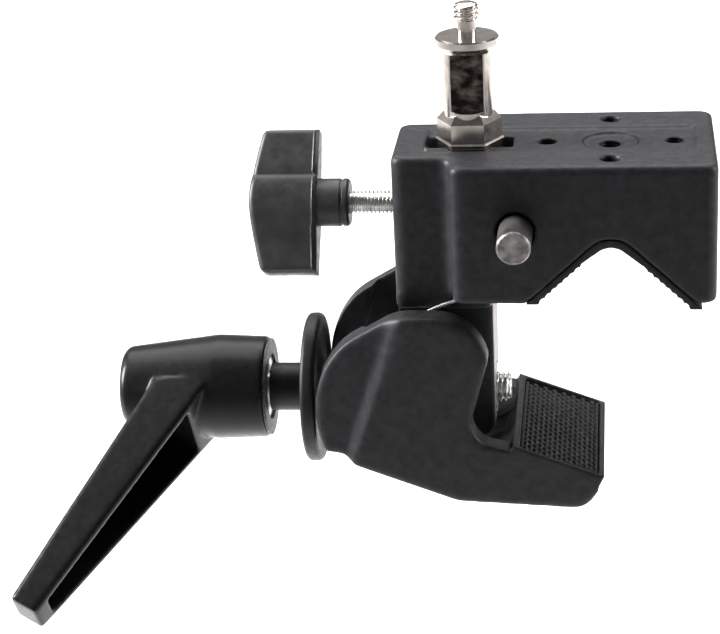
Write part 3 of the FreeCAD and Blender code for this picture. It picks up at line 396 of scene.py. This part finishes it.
BLACK_COAT = ((0.0075, 0.0075, 0.009), (0.0135, 0.0135, 0.0155), 0.35, 0.020, 0.42, 0.56, 0.16)
MATERIALS = {
    "cast_body": powder_coat("black_powder_coat", *BLACK_COAT),
    "cast_jaw": powder_coat("grey_powder_coat", (0.009, 0.009, 0.0105), (0.016, 0.016, 0.018), 0.35, 0.020,
                            0.42, 0.56, 0.16),
    "black_lever": powder_coat("satin_lever_paint", (0.004, 0.0036, 0.0038), (0.0065, 0.006, 0.0062), 0.5,
                               0.003, 0.28, 0.36, 0.14),
    "v_liner": powder_coat("liner_coat", *BLACK_COAT),
    "nickel_stud": plated("bright_nickel", (0.46, 0.41, 0.375), (0.62, 0.57, 0.53), 0.13, 0.24, (1, 1, 8),
                          0.004, 0),
    "brass_shoe": plated("turned_brass", (0.55, 0.38, 0.14), (0.72, 0.52, 0.24), 0.25, 0.4, (6, 1, 1),
                         0.004, 0.15),
    "steel_pin": plated("brushed_steel", (0.11, 0.10, 0.10), (0.25, 0.235, 0.23), 0.36, 0.54, (1, 1, 1),
                        0.010, 0.3),
    "spring_steel": plated("drawn_wire", (0.42, 0.42, 0.42), (0.62, 0.62, 0.61), 0.22, 0.36, (1, 1, 1),
                           0.003, 0),
    "zinc_screw": plated("bright_zinc", (0.48, 0.48, 0.47), (0.66, 0.66, 0.64), 0.24, 0.42, (4, 1, 1),
                         0.006, 0),
    "black_plastic": moulded("knob_plastic", (0.017, 0.017, 0.017), (0.026, 0.026, 0.026), 0.34, 0.5, 0.4,
                             0.010, 0.22, 0.2),
    "rubber_pad": moulded("pad_rubber", (0.008, 0.0075, 0.0078), (0.014, 0.013, 0.0135), 0.55, 0.75, 0.25,
                          0.012, 0.2, 0),
    "black_steel": moulded("black_oxide", (0.004, 0.004, 0.0045), (0.008, 0.008, 0.008), 0.42, 0.55, 0.5,
                           0.006, 0.18, 0.2),
    "sintered_steel": sintered("sintered_steel"),
}


def finish_cad_nodes():
    """Every CAD node gets its slot's material; the ones with detailed pieces are hidden later."""
    for part in frame["record"]["subparts"]:
        mesh = NODES[part["node"]].data
        mesh.materials.clear()
        mesh.materials.append(MATERIALS[part["material_slot"]])


def second_material(mesh, material, chosen):
    """Gives the faces that chosen(centre in millimetres, normal) picks a material of their own."""
    mesh.materials.append(material)
    last = len(mesh.materials) - 1
    for face in mesh.polygons:
        if chosen(face.center / MM, face.normal):
            face.material_index = last


def body_of_node(node):
    for body, members in frame["record"]["behaviour"]["bodies"].items():
        if node in members:
            return body


def slot_of_node(node):
    for part in frame["record"]["subparts"]:
        if part["node"] == node:
            return part["material_slot"]


def stand_for(node, mesh, name):
    slot = slot_of_node(node)
    return add_object(name, mesh, body_of_node(node), [node], MATERIALS[slot])


# ---- stud ----------------------------------------------------------------------------------
STUD_HEX = 14.2
STUD_FLAT_HALF = 4.3
STUD_WAIST = 6.25
STUD_THREAD = 3.175
STUD_PITCH = 1.27


STUD_PROFILE = [
    (0.9, 8.25), (7.7, 8.25),                                        # collar
    (7.8, STUD_WAIST), (23.4, STUD_WAIST), (24.2, STUD_WAIST + 0.5),
    (25.0, 7.75), (25.2, 8.0), (26.8, 8.0), (27.2, 7.6),             # flange
    (27.21, 2.4), (31.0, 2.3),                                       # relief under the thread
    (31.5, STUD_THREAD), (34.6, STUD_THREAD), (35.2, 2.75), (35.6, 1.7), (35.7, 0.6)]


def hex_radius(across, angle):
    return across / 2 / math.cos(angle % (math.pi / 3) - math.pi / 6)


def stud_radius(s, angle):
    """Stud's surface at height s above the top face."""
    if s <= 0:
        in_groove = abs(s + TOP - SIDE_Z) < 4.5
        return min(hex_radius(STUD_HEX, angle), 7.1 if in_groove else 20.0)
    if s <= 0.9:
        return hex_radius(15.0 - 0.8 * max(0.0, s - 0.5), angle)
    lathe = between(STUD_PROFILE, s)
    if s <= 7.8:
        chamfer = 1.56 * max(0.0, s - 5.8)
        lathe = min(lathe, max(STUD_WAIST, hex_radius(STUD_HEX - chamfer, angle)))
    if 8.4 < s < 23.6:
        flat = math.sqrt(STUD_WAIST ** 2 - STUD_FLAT_HALF ** 2)
        flat += max(0.0, 8.8 - s, s - 23.2) * 4.0
        lathe = min(lathe, flat / max(abs(math.sin(angle)), 1e-3))
    if s > 31.0:
        lathe = min(lathe, STUD_THREAD - thread_cut(s, angle, STUD_PITCH, 0.6))
    return lathe


def make_stud():
    levels = [-30.0, SIDE_Z - TOP - 4.51, SIDE_Z - TOP - 4.5, SIDE_Z - TOP + 4.5, SIDE_Z - TOP + 4.51, -0.01]
    levels += [0.0, 0.5, 0.9, 0.901] + spaced(1.6, 5.8, 0.7) + spaced(5.9, 7.7, 0.15) + [7.8, 8.1, 8.4]
    levels += spaced(8.45, 8.8, 0.07) + spaced(9.4, 22.8, 0.67) + spaced(23.2, 23.6, 0.08)
    levels += spaced(23.7, 25.2, 0.15) + [25.8, 26.4, 26.8, 27.0, 27.2, 27.21, 28.0, 29.0, 30.0, 30.9]
    levels += spaced(31.0, 35.7, STUD_PITCH / 14)
    place = lambda s, r, a: (STUD_X + r * math.cos(a), r * math.sin(a), TOP + s)
    mesh = turned("stud", levels, 120, stud_radius, place, 26)
    stand_for("spigot_stud", mesh, "spigot_stud_turned")
    flat_for_painted_reflection = lambda place, normal: 8.8 < place.z - TOP < 23.2 and abs(normal.y) > 0.995
    # the flats get a near-black material of their own, a painted dark reflection
    second_material(mesh, dark_reflection_flats(), flat_for_painted_reflection)


# ---- screws --------------------------------------------------------------------------------
def threaded_rod(node, name, radius, pitch, depth, thread_from, chamfer):
    x0, x1 = low(node).x, high(node).x
    z = (low(node).z + high(node).z) / 2

    def surface(s, angle):
        lathe = between([(x0, radius), (x1 - chamfer, radius), (x1, radius - chamfer)], s)
        if s < thread_from:
            return lathe
        run_in = min(1.0, (s - thread_from) / pitch)
        return min(lathe, radius - thread_cut(s, angle, pitch, depth, -1) * run_in)

    stations = [x0, thread_from] + spaced(thread_from + pitch / 13, x1, pitch / 13)
    mesh = turned(name, stations, 48, surface, along_x(z), 38)
    stand_for(node, mesh, name)


# ---- springs -------------------------------------------------------------------------------
def coil_path(centre, axis, start, end, radius, turns, closed):
    """Helix with closed end turns; axis is 0 for X or 1 for Y."""
    steps = 28
    path = []
    total = int(turns * steps)
    for i in range(total + 1):
        share = i / total
        turn = share * turns
        rise = min(max(turn - closed, 0.0) / (turns - 2 * closed), 1.0)
        angle = 2 * math.pi * turn
        along = start + (end - start) * rise
        p = Vector(centre)
        if axis == 0:
            p += Vector((along, radius * math.cos(angle), radius * math.sin(angle)))
        else:
            p += Vector((radius * math.cos(angle), along, radius * math.sin(angle)))
        path.append(p)
    return path


def make_springs():
    closed = 0.7                # turns laid flat at each end
    wire = 1.2
    x0, x1 = low("lever_spring").x, high("lever_spring").x
    path = coil_path((0, 0, SCREW_Z), 0, x1 - wire / 2, x0 + wire / 2, 7.6, 5.5, closed)
    spring = stand_for("lever_spring", tube("lever_spring_coil", path, wire / 2), "lever_spring_coil")
    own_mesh(spring)
    wire = 0.7
    y0, y1 = low("lock_pin_spring").y, high("lock_pin_spring").y
    pin_x = (low("lock_pin").x + high("lock_pin").x) / 2
    path = coil_path((pin_x, 0, SIDE_Z), 1, y0 + wire / 2, y1 - wire / 2, 3.4, 7.5, closed)
    coil = tube("lock_pin_spring_coil", path, wire / 2)
    spring = stand_for("lock_pin_spring", coil, "lock_pin_spring_coil")
    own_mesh(spring)
    make_jaw_spring()


def make_jaw_spring():
    """Torsion spring: a coil on the pivot pin, with a bent leg that bears under the block."""
    wire = 1.0
    y0, y1 = low("jaw_return_spring").y + wire / 2, high("jaw_return_spring").y - wire / 2
    coil = coil_path((PIVOT.x, 0, PIVOT.z), 1, y1, y0, 5.6, 4.5, 0.0)
    leg_y = -15.62
    corners = [coil[-1], Vector((-50.5, y0, -8.0)), Vector((-50.2, leg_y, -2.5)), Vector((-49.2, leg_y, 1.2)),
               Vector((-42.5, leg_y, 4.3)), Vector((-35.6, leg_y, UNDERSIDE - 0.55))]
    leg = []
    for a, b in zip(corners[:-1], corners[1:]):
        leg += [a.lerp(b, i / 6) for i in range(1, 7)]
    for _ in range(3):
        leg = [leg[0]] + [(a + b * 2 + c) / 4 for a, b, c in zip(leg[:-2], leg[1:-1], leg[2:])] + [leg[-1]]
    slack = 0.02                # keeps the bent wire off the pieces it lies against
    mesh = tube("jaw_return_spring_wire", coil + leg, wire / 2 - slack)
    stand_for("jaw_return_spring", mesh, "jaw_return_spring_wire")


# ---- rubber pad ----------------------------------------------------------------------------
def make_pad():
    """Pad with a fine diamond tread, on the slope of its tray."""
    slope = math.radians(18.6)
    thick = 3.4
    lo, hi = low("jaw_pad"), high("jaw_pad")
    start = Vector((lo.x + thick * math.sin(slope), 0, hi.z))
    run = Vector((math.cos(slope), 0, -math.sin(slope)))
    up = Vector((math.sin(slope), 0, math.cos(slope)))
    length = 20.7
    half = hi.y
    step = 0.2
    rows = spaced(0, length, step)
    columns = spaced(-half, half, step)
    pitch = 1.9
    groove_depth = 0.9
    border = 0.8                # plain strip round the tread
    points = []
    for a in rows:
        for w in columns:
            edge = min(a, length - a, w + half, half - w)
            u, v = (a + w) / math.sqrt(2), (a - w) / math.sqrt(2)
            groove = min(abs(math.sin(math.pi * u / pitch)), abs(math.sin(math.pi * v / pitch)))
            h = -groove_depth * (1 - min(1.0, groove / 0.9)) if edge > border else -0.1
            h -= max(0.0, 0.5 - edge) * 0.6
            points.append(start + run * a + up * h + Vector((0, w, 0)))
    n, m = len(rows), len(columns)
    faces = grid_faces(n, m, closed_round=False)
    rim = grid_rim(n, m)
    base = len(points)
    for i in rim:
        p = points[i]
        a = (Vector(p) - start).dot(run)
        points.append(start + run * a - up * thick + Vector((0, p[1], 0)))
    count = len(rim)
    for i in range(count):
        j = (i + 1) % count
        faces.append((rim[i], rim[j], base + j, base + i))
    faces.append(tuple(base + i for i in range(count)))
    stand_for("jaw_pad", mesh_of("jaw_pad_tread", points, faces, 40), "jaw_pad_tread")


# ---- castings ------------------------------------------------------------------------------
def hole_thread(radius, inner, pitch, x, y, z0, z1, name):
    """Ring with an inside thread, for a tapped hole."""
    points = []
    columns = 48
    stations = spaced(z0, z1, pitch / 10)
    for s in stations:
        for c in range(columns):
            a = 2 * math.pi * c / columns
            r = inner + thread_cut(s, a, pitch, radius - inner)
            points.append((x + r * math.cos(a), y + r * math.sin(a), s))
    rows = len(stations)
    faces = grid_faces(rows, columns)
    outer = radius + 0.5
    for s in (z0, z1):
        for c in range(columns):
            a = 2 * math.pi * c / columns
            points.append((x + outer * math.cos(a), y + outer * math.sin(a), s))
    base = rows * columns
    end = base - columns
    for c in range(columns):
        d = (c + 1) % columns
        faces.append((c, d, base + d, base + c))
        faces.append((end + c, end + d, base + columns + d, base + columns + c))
        faces.append((base + c, base + d, base + columns + d, base + columns + c))
    return mesh_of(name, points, faces, 30)


def upper_rounding(places):
    """Outer edges of the upper jaw; not the top's recess and holes, and not the V."""
    x, y, z = places.T
    side = fade(np.abs(y), 20.0, 21.5) * fade(np.abs(x), 23.5, 24.5)
    neck = fade(-x, 37.0, 38.5) * fade(np.abs(y), 12.0, 13.5)
    below = fade(-z, -UNDERSIDE - 2.0, -UNDERSIDE - 1.0)
    top = fade(z, TOP - 3.0, TOP - 2.0) * fade(np.abs(y), 20.0, 21.5)
    return np.clip(side + neck + below * 0.6 + top * 0.5, 0.0, 1.0)


def lower_rounding(places):
    """Outer edges of the lower jaw's cheeks; the pad's tray keeps its thin rails."""
    x, y, z = places.T
    x, z = x - PIVOT.x, z - PIVOT.z
    tray = fade(x, 13.0, 15.0) * fade(z + 0.336 * x, -22.5, -20.5)
    square = math.radians(161.4)
    across = x * math.cos(square) + z * math.sin(square)
    band = fade(across, 8.5, 10.5) * (1 - fade(across, 16.5, 18.5))
    inside = (1 - fade(np.hypot(x, z), 10.5, 12.0) * fade(z, -2.0, 2.0)) * fade(z, -25.0, -22.5)
    return fade(np.abs(y), 16.8, 18.0) * (1 - tray) * (1 - 0.85 * band * inside)


def lever_rounding(places):
    """Soft all over, and softer still at the lever's tip."""
    x, y, z = places.T
    return 0.28 + 0.72 * (1 - fade(x, low("lever_handle").x + 5.0, low("lever_handle").x + 12.0))


def ease_shoe_pocket(mesh):
    """Keeps the rounded copy's pocket clear of the shoe when the knob is backed off."""
    bottom = low("stud_clamp_shoe").x - 2.0
    clear = high("stud_clamp_shoe").y + 0.25
    for vertex in mesh.vertices:
        x, y, z = vertex.co / MM
        away = Vector((0.0, y, z - SIDE_Z))
        if bottom - 0.15 < x < high("stud_clamp_shoe").x and 0.5 < away.length < clear:
            vertex.co += away.normalized() * (clear - away.length) * MM


def on_tongue_face(place, normal):
    """The tongue's machined face, which shows between the cheeks."""
    return place.x > -30.6 and place.z < UNDERSIDE - 1.0 and normal.x > 0.9


def make_castings():
    bottom = TOP - 9.0
    threads = [hole_thread(3.05, 2.45, 1.27, 0, 0, bottom, TOP - 1.7, "centre_thread")]
    threads += [hole_thread(2.6, 2.2, 0.8, x, 0, bottom, TOP - 0.9, "hole_thread") for x in (-HOLE_X, HOLE_X)]
    upper = cast_copy("upper_jaw_casting", "upper_jaw", 0.42, 14, upper_rounding, 0.3, threads)
    ease_shoe_pocket(upper)
    stand_for("upper_jaw", upper, "upper_jaw_casting")
    machined = plated("machined_face", (0.16, 0.135, 0.125), (0.26, 0.23, 0.215), 0.35, 0.5, (1, 8, 1),
                      0.006, 0)
    second_material(upper, machined, on_tongue_face)
    lower = cast_copy("lower_jaw_casting", "lower_jaw", 0.38, 40, lower_rounding, 0.35)
    stand_for("lower_jaw", lower, "lower_jaw_casting")
    lever = cast_copy("lever_handle_casting", "lever_handle", 0.4, 18, lever_rounding, 0.35)
    stand_for("lever_handle", lever, "lever_handle_casting")
    liner = cast_copy("v_jaw_liner_moulding", "v_jaw_liner", 0.25, 3, everywhere, 0.4)
    stand_for("v_jaw_liner", liner, "v_jaw_liner_moulding")


def darken_pin_side():
    """The lock pin's side is dark, and only its end is bare."""
    pin_side = moulded("dark_pin_side", (0.010, 0.010, 0.010), (0.035, 0.033, 0.032), 0.4, 0.55, 0.5, 0.02,
                       0.4, 0)
    second_material(NODES["lock_pin"].data, pin_side, lambda place, normal: abs(normal.y) < 0.3)


# ---- wing knob -----------------------------------------------------------------------------
def make_wing_knob():
    """Moulded wing with a bulge across its middle, and a turned collar."""
    half = 18.8
    right = high("wing_knob").x - 8.1
    tip_left = right - 14.5
    crown = 3.2
    edge = 1.5
    wing_half = 4.5
    bulge_half = 6.45
    corner = 1.6                # rounding of the wing's ends
    turn = math.radians(-32.0)
    rows = spaced(-half, half, 0.35)
    shares = [(1 - math.cos(math.pi * i / 56)) / 2 for i in range(57)]

    def place(x, w, t):
        return (x, t * math.cos(turn) - w * math.sin(turn), SIDE_Z + t * math.sin(turn) + w * math.cos(turn))

    def thickness(x, w, left):
        base = wing_half + (0.25 if x > right - 1.3 else 0.0)
        if 0 <= w < bulge_half:
            base += 2.0 * math.sqrt(1 - (w / bulge_half) ** 2)
        elif -13.0 < w < 0:
            base += 1.0 + math.cos(math.pi * w / 13.0)
        base -= 0.9 * max(0.0, abs(w) - 9.0) / 10.0
        inside = min(x - left, right - x, half - abs(w))
        if inside < edge:
            base -= edge - math.sqrt(max(edge ** 2 - (edge - inside) ** 2, 0.0))
        return base

    points = []
    for side in (1, -1):
        for w in rows:
            over = max(0.0, abs(w) - (half - corner))
            left = tip_left - crown * (1 - abs(w / half) ** 1.5)
            left = left + corner - math.sqrt(max(0.0, corner ** 2 - over ** 2))
            for share in shares:
                x = left + (right - left) * share
                points.append(place(x, w, side * thickness(x, w, left)))
    n, m = len(rows), len(shares)
    faces = grid_faces(n, m, closed_round=False)
    faces += [tuple(n * m + i for i in face[::-1]) for face in grid_faces(n, m, closed_round=False)]
    rim = grid_rim(n, m)
    for i, a in enumerate(rim):
        b = rim[(i + 1) % len(rim)]
        faces.append((b, a, n * m + a, n * m + b))
    wing = mesh_of("wing", points, faces, 42)
    collar_end = high("wing_knob").x
    profile = [(right - 3.0, 6.2), (collar_end - 2.4, 6.2), (collar_end - 2.3, 5.9), (collar_end - 1.7, 5.9),
               (collar_end - 1.6, 6.2), (collar_end - 0.6, 6.2), (collar_end, 5.6)]
    stations = [s for s, r in profile]
    collar = turned("collar", stations, 64, lambda s, a: between(profile, s), along_x(SIDE_Z), 40)
    bm = bmesh.new()
    bm.from_mesh(wing)
    bm.from_mesh(collar)
    bm.to_mesh(wing)
    bm.free()
    stand_for("wing_knob", wing, "wing_knob_moulding")


# ---- thrust disc ---------------------------------------------------------------------------
def make_thrust_disc():
    x0, x1 = low("thrust_disc").x, high("thrust_disc").x
    outer = high("thrust_disc").y
    bore = 4.05
    rounding = 1.25
    arc = []
    for i in range(9):
        a = math.pi / 2 * i / 8
        arc.append((rounding * (1 - math.cos(a)), rounding * (1 - math.sin(a))))
    left = [(x0 + dx, outer - dr) for dx, dr in arc]
    right = [(x1 - dx, outer - dr) for dx, dr in arc[::-1]]
    dish = 0.5
    faces_left = [(x0, bore), (x0, outer - 5.0), (x0, outer - 3.5)]
    faces_right = [(x1, outer - 3.2), (x1 - dish, outer - 4.2), (x1 - dish, 8.6), (x1, 7.8), (x1, bore)]
    outline = faces_left + left + right + faces_right
    columns = 96
    points = []
    for x, r in outline:
        for c in range(columns):
            a = 2 * math.pi * c / columns
            points.append((x, r * math.cos(a), SCREW_Z + r * math.sin(a)))
    rows = len(outline)
    faces = grid_faces(rows, columns)
    for c in range(columns):
        d = (c + 1) % columns
        faces.append(((rows - 1) * columns + c, (rows - 1) * columns + d, d, c))
    stand_for("thrust_disc", mesh_of("thrust_disc_turned", points, faces, 34), "thrust_disc_turned")


# ---- stage, light and camera ---------------------------------------------------------------
def make_floor():
    """Round floor that curves up into a wall far behind everything."""
    level = CAD_BOX[0][2] / MM - 170.0
    reach = 3000.0
    curve = 900.0
    wall = 2400.0
    profile = [(0.0, 0.0), (reach * 0.5, 0.0), (reach, 0.0)]
    for i in range(1, 13):
        a = math.pi / 2 * i / 12
        profile.append((reach + curve * math.sin(a), curve * (1 - math.cos(a))))
    profile.append((reach + curve, wall))
    columns = 96
    points = []
    for r, h in profile:
        r = max(r, 1.0)
        for c in range(columns):
            a = 2 * math.pi * c / columns
            points.append((r * math.cos(a), r * math.sin(a), level + h))
    faces = grid_faces(len(profile), columns) + [tuple(range(columns))]
    floor = bpy.data.objects.new("floor", mesh_of("floor", points, faces))
    bpy.context.scene.collection.objects.link(floor)
    look = Look("pale_floor", 0.0, 0.2)
    look.colours(look.noise(400.0, 2), (0.86, 0.86, 0.86), (0.88, 0.88, 0.88))
    look.shader.inputs["Roughness"].default_value = 0.8
    floor.data.materials.append(look.done())


def soft_light(name, place, size, power, aim=(-0.04, 0, 0), mirrored=True, spread=180.0):
    light = bpy.data.lights.new(name, "AREA")
    light.shape = "RECTANGLE"
    light.size, light.size_y = size
    light.energy = power
    light.spread = math.radians(spread)
    obj = bpy.data.objects.new(name, light)
    obj.location = place
    obj.visible_glossy = mirrored
    toward = Vector(aim) - Vector(place)
    obj.rotation_euler = toward.to_track_quat("-Z", "Y").to_euler()
    bpy.context.scene.collection.objects.link(obj)


def make_lights():
    soft_light("overhead", (-0.05, 0.6, 1.1), (1.6, 1.2), 36, (0, 0.2, 0))
    soft_light("floor_wash", (0.0, 1.7, 0.9), (2.4, 0.9), 44, (0, 1.3, -0.2), mirrored=False)
    soft_light("left_strip", (-0.95, 0.0, 0.42), (0.22, 0.8), 6.0, spread=50.0)
    soft_light("right_strip", (1.0, 0.12, 0.35), (0.22, 0.8), 2.0, spread=60.0)
    world = bpy.data.worlds.new("studio")
    world.use_nodes = True
    world.node_tree.nodes["Background"].inputs["Color"].default_value = (1, 1, 1, 1)
    world.node_tree.nodes["Background"].inputs["Strength"].default_value = 0.12
    bpy.context.scene.world = world
    bpy.context.scene.view_settings.view_transform = "Standard"


CAMERA_PLACE = (1.81, -523.47, 214.18)
CAMERA_ANGLES = (7.35, 22.6, -2.99)     # azimuth, elevation and roll in degrees
CAMERA_LENS = 108.64


def make_camera():
    camera = bpy.data.cameras.new("camera")
    camera.sensor_width = 36.0
    camera.lens = CAMERA_LENS
    camera.clip_start = 0.01
    obj = bpy.data.objects.new("camera", camera)
    azimuth, elevation, roll = (math.radians(angle) for angle in CAMERA_ANGLES)
    forward = Vector((-math.sin(azimuth) * math.cos(elevation), math.cos(azimuth) * math.cos(elevation),
                      -math.sin(elevation)))
    level = Vector((math.cos(azimuth), math.sin(azimuth), 0))
    upright = level.cross(forward)
    right = level * math.cos(roll) + upright * math.sin(roll)
    up = upright * math.cos(roll) - level * math.sin(roll)
    turn = Matrix((right, up, -forward)).transposed().to_4x4()
    obj.matrix_world = Matrix.Translation(Vector(CAMERA_PLACE) * MM) @ turn
    bpy.context.scene.collection.objects.link(obj)
    bpy.context.scene.camera = obj


finish_cad_nodes()
make_castings()
darken_pin_side()
make_stud()
make_wing_knob()
make_thrust_disc()
threaded_rod("clamp_screw", "clamp_screw_threaded", radius=4.0, pitch=1.25, depth=0.68,
             thread_from=-75.0, chamfer=0.9)
threaded_rod("knob_screw", "knob_screw_threaded", radius=3.0, pitch=1.0, depth=0.55,
             thread_from=-67.0, chamfer=0.5)
make_springs()
make_pad()
make_floor()
make_lights()
make_camera()
